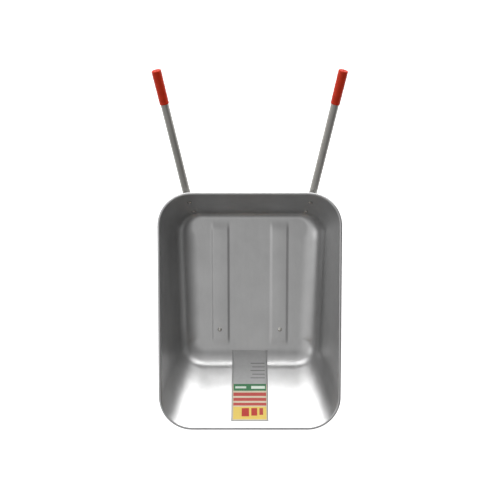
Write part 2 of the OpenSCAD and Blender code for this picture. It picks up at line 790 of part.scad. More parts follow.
tray();
rim_wire();
label();
floor_bolts();
floor_nuts();
floor_washers();
floor_spacers();
wall_bolts();
wall_nuts();
wall_spacers();
rail_left();
rail_right();
grip_left();
grip_right();
leg_left();
leg_right();
foot_plate_left();
foot_plate_right();
leg_bolts();
leg_nuts();
front_crossbar();
rear_crossbar();
leg_brace();
brace_bolts();
brace_nuts();
tyre();
inner_tube();
valve_stem();
valve_cap();
rim_half_left();
rim_half_right();
rim_bolts();
rim_nuts();
hub_tube();
bearing_outer_rings();
bearing_inner_rings();
bearing_balls();
bearing_cages();
bearing_shields();
bearing_spacer();
axle_bolt();
axle_nut();
axle_washers();
axle_spacers();
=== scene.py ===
"""A galvanised garden wheelbarrow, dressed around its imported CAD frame. Metres, +Z up, +Y to the grips."""

import math

import bmesh
import bpy
import numpy as np
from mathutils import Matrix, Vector
from mathutils.geometry import tessellate_polygon


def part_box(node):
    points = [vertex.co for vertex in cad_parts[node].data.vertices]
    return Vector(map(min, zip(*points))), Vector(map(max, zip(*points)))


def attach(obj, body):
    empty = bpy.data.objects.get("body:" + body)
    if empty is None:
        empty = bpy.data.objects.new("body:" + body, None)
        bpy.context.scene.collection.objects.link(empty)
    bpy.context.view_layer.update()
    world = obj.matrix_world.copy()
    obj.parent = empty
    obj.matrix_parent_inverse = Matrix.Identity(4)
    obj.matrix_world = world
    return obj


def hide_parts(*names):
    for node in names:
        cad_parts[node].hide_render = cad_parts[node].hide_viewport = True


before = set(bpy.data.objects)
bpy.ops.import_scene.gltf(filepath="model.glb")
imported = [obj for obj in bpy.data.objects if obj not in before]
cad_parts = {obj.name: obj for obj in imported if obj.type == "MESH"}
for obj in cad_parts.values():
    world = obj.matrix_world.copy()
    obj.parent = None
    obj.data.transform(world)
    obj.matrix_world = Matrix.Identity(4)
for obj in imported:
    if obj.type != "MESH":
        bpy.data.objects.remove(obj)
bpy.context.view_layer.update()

# ---- Sizes shared with the CAD source, in metres ------------------------------------------------

tray_lo, tray_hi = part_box("tray")
wheel_lo, wheel_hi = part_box("tyre")
plate_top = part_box("foot_plate_right")[1].z

RIM_TILT = math.radians(4.7)
SHEET_T = 0.001
BEAD_R = 0.005
TRAY_W = 0.600
TRAY_L = 0.784
RIM_CORNER_R = 0.110
REAR_Y = tray_hi.y
FLOOR_Z = tray_lo.z + SHEET_T
REAR_WALL_H = 0.1645
RIM_Z = FLOOR_Z + REAR_WALL_H
# Outlines: (rear end, front end, half width at the rear, half width at the front, corner radius)
FLOOR_SHAPE = (REAR_Y - 0.092, REAR_Y - 0.603, 0.241, 0.227, 0.075)
RIM_SHAPE = (-BEAD_R, BEAD_R - TRAY_L, TRAY_W / 2 - BEAD_R, TRAY_W / 2 - BEAD_R,
             RIM_CORNER_R - BEAD_R)
REAR_FILLET, SIDE_FILLET, FRONT_FILLET = 0.028, 0.072, 0.072
CURL_TURN = math.radians(290)
RIB_X, RIB_W, RIB_H = 0.102, 0.056, 0.0025
RIB_ENDS = (REAR_Y - 0.5603, REAR_Y - 0.1148)

SPLAY = math.radians(11.5)
TUBE_R = 0.0125
LEG_R = 0.011
GAP = 0.0003
FRONT_BOLT_X = 0.1055
FRONT_BOLT_Y = REAR_Y - 0.500
RAIL_Z = FLOOR_Z - SHEET_T - GAP - TUBE_R
WHEEL_C = (wheel_lo + wheel_hi) / 2
WHEEL_R = (wheel_hi.z - wheel_lo.z) / 2
GRIP_END = (REAR_Y + 0.3814, 0.609)
GRIP_L, GRIP_R = 0.108, 0.015
HANDLE_RISE = math.radians(18.5)
TAB_L, TAB_T = 0.026, 0.005


# ---- Mesh helpers -------------------------------------------------------------------------------

def shade_smooth(mesh):
    mesh.polygons.foreach_set("use_smooth", [True] * len(mesh.polygons))


def add_mesh(name, points, faces, material, body, node=None):
    """A mesh piece that rides on a CAD body and, if node is given, stands for that CAD node."""
    mesh = bpy.data.meshes.new(name)
    mesh.from_pydata([tuple(p) for p in points], [], [tuple(f) for f in faces])
    mesh.validate()
    mesh.update()
    shade_smooth(mesh)
    mesh.materials.append(material)
    piece = bpy.data.objects.new(name, mesh)
    bpy.context.scene.collection.objects.link(piece)
    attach(piece, body)
    if node is not None:
        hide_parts(node)
    return piece


def face_out(piece):
    """Turns every face of a closed mesh outwards."""
    bm = bmesh.new()
    bm.from_mesh(piece.data)
    bmesh.ops.recalc_face_normals(bm, faces=bm.faces)
    bm.to_mesh(piece.data)
    bm.free()
    return piece


SHARP_ANGLE = 35


def bevel(piece, width):
    """Rounds a piece's sharp edges and keeps flat faces flat."""
    mod = piece.modifiers.new("bevel", "BEVEL")
    mod.width = width
    mod.segments = 2
    mod.limit_method = "ANGLE"
    mod.angle_limit = math.radians(SHARP_ANGLE)
    mod.harden_normals = True


def sharpen(piece, angle=SHARP_ANGLE):
    """Smooth shading except across edges sharper than the angle."""
    shade_smooth(piece.data)
    piece.data.set_sharp_from_angle(angle=math.radians(angle))


def unit(v):
    v = np.asarray(v, float)
    return v / np.linalg.norm(v)


def lerp(a, b, s):
    return a + (b - a) * s


def smooth_step(x):
    t = np.clip(x, 0, 1)
    return t * t * (3 - 2 * t)


def grid_faces(rows, cols, close_rows=False, close_cols=False, start=0, flip=False):
    """Quads over a rows x cols block of points."""
    faces = []
    for i in range(rows if close_rows else rows - 1):
        for j in range(cols if close_cols else cols - 1):
            a = start + i * cols + j
            b = start + i * cols + (j + 1) % cols
            c = start + ((i + 1) % rows) * cols + (j + 1) % cols
            d = start + ((i + 1) % rows) * cols + j
            faces.append((a, d, c, b) if flip else (a, b, c, d))
    return faces


def loop_round(rows, cols):
    """Indices round the border of a rows x cols grid, anticlockwise when rows run towards +Y."""
    return ([j for j in range(cols)] + [i * cols + cols - 1 for i in range(1, rows)]
            + [(rows - 1) * cols + j for j in range(cols - 2, -1, -1)]
            + [i * cols for i in range(rows - 2, 0, -1)])


# ---- Materials ----------------------------------------------------------------------------------

class Shader:
    """A small builder for node materials."""

    def __init__(self, name):
        self.material = bpy.data.materials.new(name)
        self.material.use_nodes = True
        self.nodes = self.material.node_tree.nodes
        self.links = self.material.node_tree.links
        self.bsdf = self.nodes["Principled BSDF"]
        self.space = self.nodes.new("ShaderNodeTexCoord").outputs["Object"]

    def set(self, **values):
        for key, value in values.items():
            self.bsdf.inputs[key.replace("_", " ")].default_value = value
        return self

    def link(self, output, socket):
        self.links.new(output, socket)

    def mapped(self, scale):
        node = self.nodes.new("ShaderNodeMapping")
        node.inputs["Scale"].default_value = scale
        self.link(self.space, node.inputs["Vector"])
        return node.outputs["Vector"]

    def noise(self, scale, detail=4.0, rough=0.55, stretch=(1, 1, 1)):
        node = self.nodes.new("ShaderNodeTexNoise")
        node.inputs["Scale"].default_value = scale
        node.inputs["Detail"].default_value = detail
        node.inputs["Roughness"].default_value = rough
        self.link(self.mapped(stretch), node.inputs["Vector"])
        return node.outputs["Fac"]

    def ramp(self, factor, stops):
        node = self.nodes.new("ShaderNodeValToRGB")
        elements = node.color_ramp.elements
        while len(elements) < len(stops):
            elements.new(0.5)
        for element, (place, colour) in zip(elements, stops):
            element.position = place
            element.color = (*colour, 1)
        self.link(factor, node.inputs["Fac"])
        return node.outputs["Color"]

    def grey(self, factor, low, high):
        return self.ramp(factor, [(0.3, (low, low, low)), (0.7, (high, high, high))])

    def math(self, kind, a, b):
        """a and b are each a number or an output."""
        node = self.nodes.new("ShaderNodeMath")
        node.operation = kind
        for socket, value in zip(node.inputs, (a, b)):
            if isinstance(value, (int, float)):
                socket.default_value = value
            else:
                self.link(value, socket)
        return node.outputs["Value"]

    def mix(self, factor, a, b):
        """factor is a number or an output; a and b are each a colour or an output."""
        node = self.nodes.new("ShaderNodeMix")
        node.data_type = "RGBA"
        for socket, value in ((node.inputs["Factor"], factor), (node.inputs["A"], a),
                              (node.inputs["B"], b)):
            if isinstance(value, (int, float)):
                socket.default_value = value
            elif isinstance(value, tuple):
                socket.default_value = (*value, 1)
            else:
                self.link(value, socket)
        return node.outputs["Result"]

    def bump(self, *layers):
        """layers are (height output, depth in metres)."""
        normal = None
        for height, depth in layers:
            node = self.nodes.new("ShaderNodeBump")
            node.inputs["Strength"].default_value = 1.0
            node.inputs["Distance"].default_value = depth
            self.link(height, node.inputs["Height"])
            if normal is not None:
                self.link(normal, node.inputs["Normal"])
            normal = node.outputs["Normal"]
        self.link(normal, self.bsdf.inputs["Normal"])
        return self

    def colour(self, output):
        self.link(output, self.bsdf.inputs["Base Color"])
        return self

    def rough(self, output):
        self.link(output, self.bsdf.inputs["Roughness"])
        return self


def galvanised_sheet():
    s = Shader("galvanised_sheet").set(Metallic=1.0, Specular_IOR_Level=0.5)
    cloud = s.noise(9, 5, 0.6)
    draw = s.noise(30, 3, 0.6, (1, 0.12, 1))
    grain = s.noise(900, 2, 0.5, (1, 0.25, 1))
    s.colour(s.mix(0.35, s.grey(cloud, 0.46, 0.54), s.grey(draw, 0.43, 0.56)))
    draw_rough = s.math("MULTIPLY", draw, 0.14)
    grain_rough = s.math("ADD", s.math("MULTIPLY", grain, 0.08), 0.26)
    s.rough(s.math("ADD", draw_rough, grain_rough))
    slow_waves, short_waves = s.noise(5, 2, 0.5), s.noise(18, 2, 0.5)
    s.bump((slow_waves, 0.0014), (short_waves, 0.0006), (grain, 0.00004))
    return s.material


def zinc_hardware():
    s = Shader("zinc_hardware").set(Metallic=1.0)
    spots = s.noise(260, 3)
    s.colour(s.ramp(spots, [(0.3, (0.50, 0.49, 0.46)), (0.7, (0.68, 0.67, 0.63))]))
    s.rough(s.grey(s.noise(500, 3), 0.14, 0.28))
    s.bump((s.noise(1500, 2), 0.00004))
    return s.material


def coated_tube():
    s = Shader("coated_tube").set(Metallic=0.55, Specular_IOR_Level=0.5)
    streak = s.noise(45, 4, 0.6, (1, 0.15, 0.6))
    s.colour(s.ramp(streak, [(0.3, (0.335, 0.327, 0.306)), (0.7, (0.42, 0.41, 0.385))]))
    s.rough(s.grey(s.noise(220, 4), 0.36, 0.52))
    s.bump((s.noise(700, 3), 0.00005))
    return s.material


def red_grip():
    s = Shader("red_grip").set(Specular_IOR_Level=0.25)
    mottle = s.noise(60, 4)
    s.colour(s.ramp(mottle, [(0.3, (0.52, 0.020, 0.001)), (0.7, (0.62, 0.030, 0.002))]))
    s.rough(s.grey(s.noise(300, 3), 0.45, 0.62))
    s.bump((s.noise(1800, 3), 0.00006))
    return s.material


def tyre_rubber():
    s = Shader("tyre_rubber").set(Specular_IOR_Level=0.25)
    dust = s.noise(35, 5, 0.65)
    s.colour(s.ramp(dust, [(0.35, (0.009, 0.009, 0.010)), (0.75, (0.024, 0.023, 0.021))]))
    s.rough(s.grey(s.noise(120, 4), 0.55, 0.80))
    s.bump((s.noise(900, 4), 0.0001))
    return s.material


def red_paint():
    s = Shader("red_paint").set(Coat_Weight=0.5, Coat_Roughness=0.12, Specular_IOR_Level=0.5)
    s.colour(s.ramp(s.noise(40, 4), [(0.3, (0.42, 0.016, 0.010)), (0.7, (0.52, 0.024, 0.014))]))
    s.rough(s.grey(s.noise(350, 3), 0.28, 0.42))
    s.bump((s.noise(420, 3), 0.00006))
    return s.material


def dark_plastic():
    s = Shader("dark_plastic").set(Specular_IOR_Level=0.45)
    s.colour(s.ramp(s.noise(150, 3), [(0.3, (0.015, 0.015, 0.016)), (0.7, (0.03, 0.03, 0.03))]))
    s.rough(s.grey(s.noise(400, 2), 0.42, 0.6))
    s.bump((s.noise(1400, 2), 0.00005))
    return s.material


def ground_steel():
    s = Shader("ground_steel").set(Metallic=1.0)
    s.colour(s.ramp(s.noise(300, 2), [(0.3, (0.70, 0.70, 0.71)), (0.7, (0.80, 0.80, 0.81))]))
    s.rough(s.grey(s.noise(900, 2), 0.12, 0.22))
    return s.material


def brass():
    s = Shader("brass").set(Metallic=1.0)
    s.colour(s.ramp(s.noise(300, 2), [(0.3, (0.62, 0.42, 0.14)), (0.7, (0.72, 0.52, 0.20))]))
    s.rough(s.grey(s.noise(900, 2), 0.24, 0.36))
    return s.material


def weld_metal():
    s = Shader("weld_metal").set(Metallic=0.6)
    s.colour(s.ramp(s.noise(300, 3), [(0.3, (0.16, 0.155, 0.15)), (0.7, (0.26, 0.25, 0.24))]))
    s.rough(s.grey(s.noise(500, 3), 0.42, 0.6))
    s.bump((s.noise(900, 3), 0.0001))
    return s.material


WELD = weld_metal()
SHEET = galvanised_sheet()
ZINC = zinc_hardware()
COAT = coated_tube()
GRIP = red_grip()
RUBBER = tyre_rubber()
PAINT = red_paint()
PLASTIC = dark_plastic()
STEEL = ground_steel()
BRASS = brass()


# ---- Tray ---------------------------------------------------------------------------------------

def rim_dir(x, y, z):
    return np.array([x, y * math.cos(RIM_TILT) + z * math.sin(RIM_TILT),
                     z * math.cos(RIM_TILT) - y * math.sin(RIM_TILT)])


def outline_point(shape, corner, k):
    """(x, y, outward normal's angle) on a rounded four-sided outline; corners run anticlockwise."""
    rear, front, half_rear, half_front, r = shape
    side = -math.atan2(half_rear - half_front, rear - front)
    half_pi = math.pi / 2
    first = (-half_pi, side, half_pi, math.pi - side)[corner]
    last = (side, half_pi, math.pi - side, 3 * half_pi)[corner]
    a = lerp(first, last, k)
    hand = 1 if corner < 2 else -1
    cy = front + r if corner in (0, 3) else rear - r
    reach = math.cos(side) * half_rear + math.sin(side) * rear
    cx = (reach - r - math.sin(side) * cy) / math.cos(side)
    return hand * cx + r * math.cos(a), cy + r * math.sin(a), a


FILLET_STEPS, CURL_STEPS, CORNER_STEPS, EDGE_STEPS = 14, 22, 20, 17
WALL_SHARES = (0.02, 0.04, 0.06, 0.2, 0.4, 0.6, 0.8, 0.93)
CREASE, CREASE_FULL = 0.0008, 0.04


def tray_section(corner, k):
    """The tray's cross-section at one place: fillet, wall and curl, then back underneath."""
    x, y, a = outline_point(FLOOR_SHAPE, corner, k)
    c = np.array([x, y, FLOOR_Z])
    u, v, b = outline_point(RIM_SHAPE, corner, k)
    q = np.array([0, REAR_Y, RIM_Z]) + rim_dir(u, v, 0)
    out = rim_dir(math.cos(b), math.sin(b), 0)
    top = rim_dir(0, 0, 1)

    # The wall's line runs from the floor's corner and just touches the bead's circle
    chord = unit(q - c)
    lean = math.asin(BEAD_R / np.linalg.norm(q - c))
    facing = math.cos(lean) * unit((out @ chord) * chord - out) - math.sin(lean) * chord
    first = math.atan2(facing @ top, -(facing @ out))
    curl = [math.sin(t) * top - math.cos(t) * out
            for t in np.linspace(first, CURL_TURN, CURL_STEPS + 1)]
    up = unit(q + BEAD_R * curl[0] - c)

    inward = -np.array([math.cos(a), math.sin(a), 0])
    bend = math.acos(up @ inward)
    end_r = REAR_FILLET if math.sin(a) > 0 else FRONT_FILLET
    r = lerp(SIDE_FILLET, end_r, math.sin(a) ** 2)
    centre = c + unit(up + inward) * r / math.sin(bend / 2)
    leg = r / math.tan(bend / 2)
    start = unit(c + inward * leg - centre)
    end = unit(c + up * leg - centre)
    turn = math.pi - bend
    fan = [(math.sin((1 - s) * turn) * start + math.sin(s * turn) * end) / math.sin(turn)
           for s in np.linspace(0, 1, FILLET_STEPS + 1)]

    # A shallow pressed crease along the foot of the front wall
    step = -CREASE * end * max(0.0, -math.sin(a)) ** 3

    def wall(foot, head):
        return [lerp(foot, head, s) + step * min(1, s / CREASE_FULL) * (1 - s)
                for s in WALL_SHARES]

    front = wall(centre + r * fan[-1], q + BEAD_R * curl[0])
    back = wall(centre + (r + SHEET_T) * fan[-1], q + (BEAD_R - SHEET_T) * curl[0])
    return np.array([centre + r * w for w in fan] + front + [q + BEAD_R * w for w in curl]
                    + [q + (BEAD_R - SHEET_T) * w for w in reversed(curl)] + back[::-1]
                    + [centre + (r + SHEET_T) * w for w in reversed(fan[1:])]
                    + [c + inward * leg - (0, 0, SHEET_T)])


def tray_ring():
    """Sections all round the tray, anticlockwise from the start of the front right corner."""
    corners = [[tray_section(c, k) for k in np.linspace(0, 1, CORNER_STEPS + 1)] for c in range(4)]
    ring = []
    for i, corner in enumerate(corners):
        after = corners[(i + 1) % 4][0]
        shares = np.linspace(0, 1, EDGE_STEPS + 1)[1:-1]
        ring += corner + [lerp(corner[-1], after, s) for s in shares]
    return ring


RIB_SLOPE, END_SLOPE, END_REACH, RIB_MARGIN = 0.011, 0.036, 0.002, 0.0008
RIB_SLOPE_POINTS, RIB_LENGTH_POINTS = 9, 14


def rib_patch(side):
    """A grid over one pressed rib: (x, y, height) points, with rows running forwards."""
    steps = np.linspace(-0.5, 0.5, RIB_SLOPE_POINTS)
    slope = END_SLOPE * (steps + 0.5)
    half = RIB_W / 2
    xs = np.concatenate([[-half - RIB_SLOPE / 2 - RIB_MARGIN], -half + RIB_SLOPE * steps,
                         half + RIB_SLOPE * steps, [half + RIB_SLOPE / 2 + RIB_MARGIN]])
    front, rear = RIB_ENDS[0] - END_REACH, RIB_ENDS[1] + END_REACH
    middle = np.linspace(front + END_SLOPE, rear - END_SLOPE, RIB_LENGTH_POINTS)[1:-1]
    ys = np.concatenate([[front - RIB_MARGIN], front + slope, middle, rear - slope[::-1],
                         [rear + RIB_MARGIN]])
    gx, gy = np.meshgrid(xs, ys)
    across = smooth_step((half + RIB_SLOPE / 2 - np.abs(gx)) / RIB_SLOPE)
    along = smooth_step((gy - front) / END_SLOPE) * smooth_step((rear - gy) / END_SLOPE)
    return np.stack([gx + side * RIB_X, gy, RIB_H * across * along], axis=-1)


FLOOR_INSET = 0.0015


def floor_faces(points, feet, z, flip):
    """Adds the floor's inner margin, its flat and its ribs at height z, and returns the faces."""
    inset = len(points)
    foot_points = [points[i] for i in feet]
    n = len(feet)
    for i, p in enumerate(foot_points):
        along = unit(foot_points[(i + 1) % n] - foot_points[i - 1])
        points.append(p + FLOOR_INSET * np.array([-along[1], along[0], 0]))
    faces = [(feet[i], feet[(i + 1) % n], inset + (i + 1) % n, inset + i) for i in range(n)]
    loops = [list(range(inset, inset + n))]
    for side in (-1, 1):
        patch = rib_patch(side)
        rows, cols = patch.shape[:2]
        at = len(points)
        points += [np.array([x, y, z + h]) for x, y, h in patch.reshape(-1, 3)]
        faces += grid_faces(rows, cols, start=at)
        loops.append([at + i for i in loop_round(rows, cols)])
    flat = [i for loop in loops for i in loop]
    triangles = tessellate_polygon([[Vector(points[i]) for i in loop] for loop in loops])
    faces += [tuple(flat[i] for i in t) for t in triangles]
    return [f[::-1] for f in faces] if flip else faces


def build_tray():
    ring = tray_ring()
    n, m = len(ring), len(ring[0])
    points = [p for section in ring for p in section]
    faces = grid_faces(n, m, close_rows=True)
    faces += floor_faces(points, [i * m for i in range(n)], FLOOR_Z, False)
    faces += floor_faces(points, [i * m + m - 1 for i in range(n)], FLOOR_Z - SHEET_T, True)
    return add_mesh("tray_sheet", points, faces, SHEET, "frame", "tray")


tray = face_out(build_tray())


# ---- Label --------------------------------------------------------------------------------------

LABEL_W = 0.124
LABEL_GAP = 0.024
LABEL_ROWS, LABEL_COLS = 80, 13
LABEL_START = 2
CREASE_POINTS = 3
FILM_TOP, FILM_UNDER = 0.0004, 0.00015


def label_line(steps):
    """Points and normals up the middle of the front wall, from the fillet's foot to below the rim."""
    section = tray_section(0, 0)
    fillet = section[:FILLET_STEPS + 1 + CREASE_POINTS]
    rim = section[FILLET_STEPS + 1 + len(WALL_SHARES)]
    end = rim + unit(fillet[-1] - rim) * LABEL_GAP
    path = np.vstack([fillet[LABEL_START:, 1:], end[None, 1:]])
    reach = np.concatenate([[0], np.cumsum(np.linalg.norm(np.diff(path, axis=0), axis=1))])
    places = np.linspace(0, reach[-1], steps)
    line = np.column_stack([np.interp(places, reach, path[:, i]) for i in (0, 1)])
    along = np.gradient(line, axis=0)
    normals = np.column_stack([along[:, 1], -along[:, 0]])
    return line, normals / np.linalg.norm(normals, axis=1)[:, None], places / reach[-1]


def label_film():
    """Plain printed bands; the V coordinate runs up the wall and U runs across."""
    s = Shader("label_film").set(Specular_IOR_Level=0.3)
    uv = s.nodes.new("ShaderNodeUVMap")
    uv.uv_map = "film"
    split = s.nodes.new("ShaderNodeSeparateXYZ")
    s.link(uv.outputs["UV"], split.inputs["Vector"])
    u, v = split.outputs["X"], split.outputs["Y"]

    def band(low, high, value=v):
        above = s.math("GREATER_THAN", value, low)
        return s.math("MULTIPLY", above, s.math("LESS_THAN", value, high))

    def block(u0, u1, v0, v1):
        return s.math("MULTIPLY", band(u0, u1, u), band(v0, v1))

    cream = (0.54, 0.48, 0.36)
    green = (0.035, 0.16, 0.065)
    pale_green = (0.60, 0.68, 0.60)
    dull_green = (0.55, 0.62, 0.55)
    stripe_red = (0.40, 0.055, 0.045)
    yellow = (0.63, 0.46, 0.095)
    block_red = (0.38, 0.022, 0.012)
    small_red = (0.38, 0.040, 0.030)
    ink = (0.16, 0.16, 0.16)
    colour = s.mix(s.noise(90, 4), (0.39, 0.39, 0.39), (0.33, 0.33, 0.33))
    # (left, right, foot, head, paint) as shares of the film, from the lowest layer up
    blocks = [
        (0.03, 0.97, 0.475, 0.985, cream),
        (0.05, 0.95, 0.475, 0.575, green),
        (0.54, 0.92, 0.505, 0.545, pale_green),
        (0.10, 0.40, 0.51, 0.54, dull_green),
        (0.05, 0.95, 0.60, 0.65, stripe_red),
        (0.05, 0.95, 0.675, 0.72, stripe_red),
        (0.05, 0.95, 0.745, 0.785, stripe_red),
        (0.05, 0.95, 0.80, 0.975, yellow),
        (0.28, 0.48, 0.82, 0.935, block_red),
        (0.54, 0.70, 0.82, 0.925, block_red),
        (0.76, 0.86, 0.82, 0.915, small_red),
    ]
    bar, first_bar, bar_step = 0.012, 0.16, 0.055
    for k in range(5):
        level = first_bar + bar_step * k
        blocks.append((0.52 + 0.05 * (k % 2), 0.92, level, level + bar, ink))
    for u0, u1, v0, v1, paint in blocks:
        colour = s.mix(block(u0, u1, v0, v1), colour, paint)
    s.colour(colour)
    s.rough(s.grey(s.noise(160, 3), 0.42, 0.56))
    s.bump((s.noise(24, 3), 0.0012))
    return s.material


def build_label():
    rows, cols = LABEL_ROWS, LABEL_COLS
    line, normals, share = label_line(rows)
    xs = np.linspace(-LABEL_W / 2, LABEL_W / 2, cols)
    points = []
    for lift in (FILM_TOP, FILM_UNDER):
        for (y, z), n in zip(line, normals):
            points += [(x, y + lift * n[0], z + lift * n[1]) for x in xs]
    block = rows * cols
    faces = grid_faces(rows, cols) + grid_faces(rows, cols, start=block, flip=True)
    border = loop_round(rows, cols)
    for a, b in zip(border, border[1:] + border[:1]):
        faces.append((a, a + block, b + block, b))
    film = face_out(add_mesh("label_film", points, faces, label_film(), "frame", "label"))
    layer = film.data.uv_layers.new(name="film")
    for loop in film.data.loops:
        i, j = divmod(loop.vertex_index % block, cols)
        layer.data[loop.index].uv = (j / (cols - 1), share[i])


build_label()


# ---- Bent tubes ---------------------------------------------------------------------------------

SIDE = np.array([math.cos(SPLAY), -math.sin(SPLAY), 0])
FORE = np.array([math.sin(SPLAY), math.cos(SPLAY), 0])
ACROSS = np.array([1.0, 0, 0])
UP = np.array([0, 0, 1.0])
ORIGIN = np.array([FRONT_BOLT_X, FRONT_BOLT_Y, 0])
TUBE_SIDES = 48
TAB_STEPS, TIP_STEPS, TIP_END = 13, 10, 0.995
TAB_POWER = 0.32


def on_rail(y, z):
    """A world (y, z) as a point of the right rail's upright plane."""
    return np.array([(y - FRONT_BOLT_Y) / math.cos(SPLAY), z])


def to_world(p, offset=0.0):
    return ORIGIN + offset * SIDE + p[0] * FORE + p[1] * UP


def meet(p, d, q, e):
    w = q - p
    return p + d * (w[0] * e[1] - w[1] * e[0]) / (d[0] * e[1] - d[1] * e[0])


def centre_line(path, radii, steps=14):
    """A path with rounded corners as (point, heading) pairs."""
    line = []
    for i, p in enumerate(path):
        if i in (0, len(path) - 1):
            a, b = (path[0], path[1]) if i == 0 else (path[-2], path[-1])
            line.append((p, math.atan2(b[1] - a[1], b[0] - a[0])))
            continue
        a = math.atan2(*(p - path[i - 1])[::-1])
        b = math.atan2(*(path[i + 1] - p)[::-1])
        turn = (b - a + math.pi) % (2 * math.pi) - math.pi
        r = radii[i] * math.copysign(1, turn)
        start = p - np.array([math.cos(a), math.sin(a)]) * abs(radii[i] * math.tan(turn / 2))
        centre = start + r * np.array([-math.sin(a), math.cos(a)])
        for s in np.linspace(0, 1, steps + 1):
            h = a + turn * s
            line.append((centre + r * np.array([math.sin(h), -math.cos(h)]), h))
    return line


def upright(h):
    """The in-plane direction square to a heading."""
    return -math.sin(h) * FORE + math.cos(h) * UP


def tab_stations(end, hole, r, width, offset, axis):
    """Stations from a round tube's end to the rounded tip of its flattened, drilled tab."""
    h = math.atan2(*(hole - end)[::-1])
    e, c = to_world(end, offset), to_world(hole, offset)
    run = math.cos(h) * np.cross(UP, axis) + math.sin(h) * UP
    square = -math.sin(h) * np.cross(UP, axis) + math.cos(h) * UP
    start = c - run * TAB_L
    out = []
    for s in np.linspace(0, 1, TAB_STEPS + 1)[1:]:
        t = smooth_step(s)
        out.append((lerp(e, start, s), unit(lerp(SIDE, axis, s)), unit(lerp(upright(h), square, s)),
                    lerp(r, TAB_T / 2, t), lerp(r, width / 2, t), lerp(1, TAB_POWER, t)))
    for s in np.linspace(0, TIP_END, TIP_STEPS):
        a = s * math.pi / 2
        out.append((c + run * math.sin(a) * width / 2, axis, square, TAB_T / 2,
                    math.cos(a) * width / 2, TAB_POWER))
    return out


def round_stations(path, radii, r, offset):
    return [(to_world(p, offset), SIDE, upright(h), r, r, 1.0)
            for p, h in centre_line(path, radii)]


def backwards(stations):
    """The same stations run the other way, with rings in the same sense."""
    return [(c, side, -normal, a, b, power) for c, side, normal, a, b, power in reversed(stations)]


def loft(name, stations, material, node, hand):
    """A closed skin through the stations' superelliptic rings; hand -1 mirrors it.

    A station is (centre, side, normal, half size along side, half size along normal, power).
    """
    t = np.linspace(0, 2 * math.pi, TUBE_SIDES, endpoint=False)
    points = []
    for centre, side, normal, half_t, half_w, power in stations:
        x = half_t * np.sign(np.cos(t)) * np.abs(np.cos(t)) ** power
        y = half_w * np.sign(np.sin(t)) * np.abs(np.sin(t)) ** power
        points += list(centre + np.outer(x, side) + np.outer(y, normal))
    n = len(stations)
    faces = grid_faces(n, TUBE_SIDES, close_cols=True)
    faces += [range(TUBE_SIDES), range((n - 1) * TUBE_SIDES, n * TUBE_SIDES)]
    points = np.array(points) * (hand, 1, 1)
    piece = face_out(add_mesh(name, points, faces, material, "frame", node))
    sharpen(piece, angle=50)
    return piece


TOE_BACK = 0.540


def rail_places():
    """The rail's corner points in its own plane."""
    _, y, _ = outline_point(FLOOR_SHAPE, 1, 1)
    foot = np.array([y, FLOOR_Z])
    u, v, _ = outline_point(RIM_SHAPE, 1, 1)
    centre = np.array([0, REAR_Y, RIM_Z]) + rim_dir(u, v, 0)
    chord = centre[1:] - foot
    reach = math.hypot(*chord)
    lean = math.atan2(chord[1], chord[0]) + math.asin(BEAD_R / reach)
    wall_dir = np.array([math.cos(lean), math.sin(lean)])
    post = foot + np.array([wall_dir[1], -wall_dir[0]]) * (SHEET_T + GAP + TUBE_R)
    handle_dir = np.array([math.cos(HANDLE_RISE), math.sin(HANDLE_RISE)])
    heel = on_rail(*meet(post, wall_dir, np.array([0, RAIL_Z]), np.array([1.0, 0])))
    knee = on_rail(*meet(post, wall_dir, np.array(GRIP_END), handle_dir))
    end = on_rail(*GRIP_END)
    toe = on_rail(REAR_Y - TOE_BACK, RAIL_Z)
    return end, knee, heel, toe, on_rail(WHEEL_C.y, WHEEL_C.z)


GRIP_TIP, KNEE, HEEL, TOE, AXLE = rail_places()
GRIP_DIR = unit(GRIP_TIP - KNEE)
KNEE_BEND, HEEL_BEND, TOE_BEND = 0.055, 0.048, 0.060
TUBE_SHORT = 0.006
AXLE_TAB_RUN, AXLE_TAB_W = 0.058, 0.032


def build_rail(side, hand):
    front = AXLE + unit(TOE - AXLE) * AXLE_TAB_RUN
    path = [GRIP_TIP - GRIP_DIR * TUBE_SHORT, KNEE, HEEL, TOE, front]
    stations = round_stations(path, [0, KNEE_BEND, HEEL_BEND, TOE_BEND, 0], TUBE_R, 0)
    stations += tab_stations(front, AXLE, TUBE_R, AXLE_TAB_W, 0, ACROSS)
    loft(f"rail_tube_{side}", stations, COAT, f"rail_{side}", hand)


LEG_OFFSET = TUBE_R + GAP + TAB_T / 2
PLATE_T = 0.003
FOOT_Z = PLATE_T + GAP + LEG_R
LEG_TOPS_BACK, LEG_FEET_BACK = (0.132, 0.322), (0.164, 0.254)
LEG_TAB_RUN, LEG_TAB_W, LEG_BEND = 0.050, 0.024, 0.042


def leg_places():
    """Bolt places and foot corners of a leg, in the rail's plane."""
    tops = [on_rail(REAR_Y - d, RAIL_Z) for d in LEG_TOPS_BACK]
    feet = [on_rail(REAR_Y - d, FOOT_Z) for d in LEG_FEET_BACK]
    return tops, feet


def build_leg(side, hand):
    tops, feet = leg_places()
    ends = [top + unit(foot - top) * LEG_TAB_RUN for top, foot in zip(tops, feet)]
    round_part = round_stations([ends[0], feet[0], feet[1], ends[1]], [0, LEG_BEND, LEG_BEND, 0],
                                LEG_R, LEG_OFFSET)
    first, last = [tab_stations(end, top, LEG_R, LEG_TAB_W, LEG_OFFSET, SIDE)
                   for end, top in zip(ends, tops)]
    stations = backwards(first) + round_part + last
    loft(f"leg_tube_{side}", stations, COAT, f"leg_{side}", hand)


GRIP_SIDES = 64


